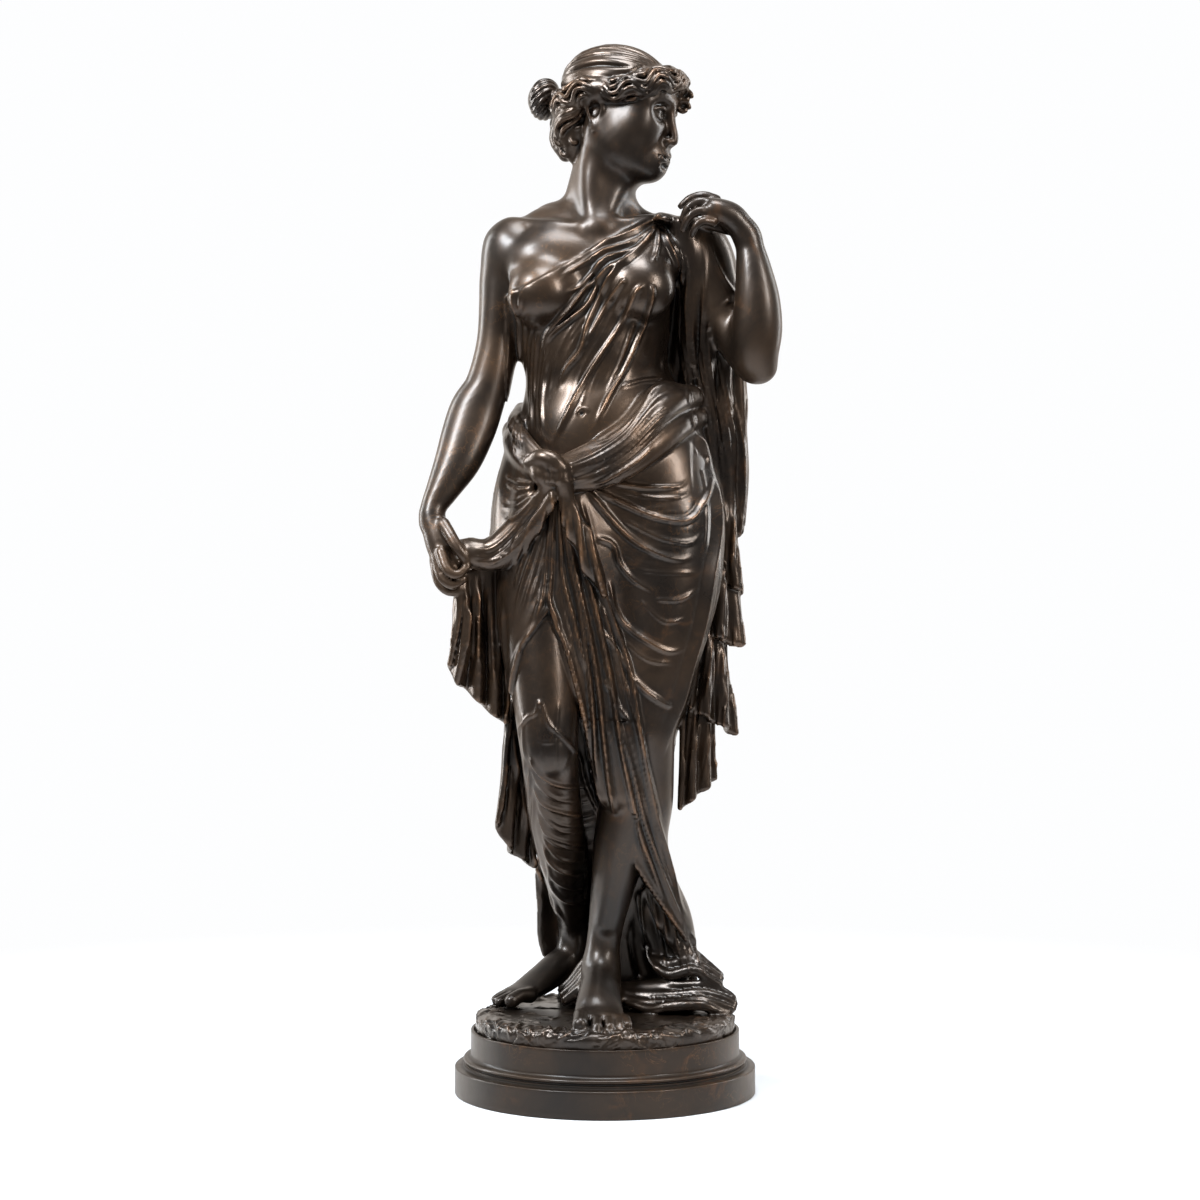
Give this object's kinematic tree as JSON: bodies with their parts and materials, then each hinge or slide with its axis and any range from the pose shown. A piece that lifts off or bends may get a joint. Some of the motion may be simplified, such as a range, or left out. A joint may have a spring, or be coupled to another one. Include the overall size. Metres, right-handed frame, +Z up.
{
  "type": "bronze draped female statue",
  "caption": "Standing draped woman in dark bronze on a round of ground, on a turned bronze plinth.",
  "frame": {"origin": "centre of the plinth's flat underside", "axes": "+Z up, -Y the way the figure's body faces, +X to the viewer's right"},
  "size_m": [0.3204, 0.27, 0.9424],
  "materials": {
    "bronze": "dark brown patinated bronze, waxed, warm brown where rubbed",
    "plinth_bronze": "dark brown patinated bronze, waxed"
  },
  "bodies": {
    "root": {"figure": "bronze", "plinth": "plinth_bronze"}
  },
  "joints": []
}
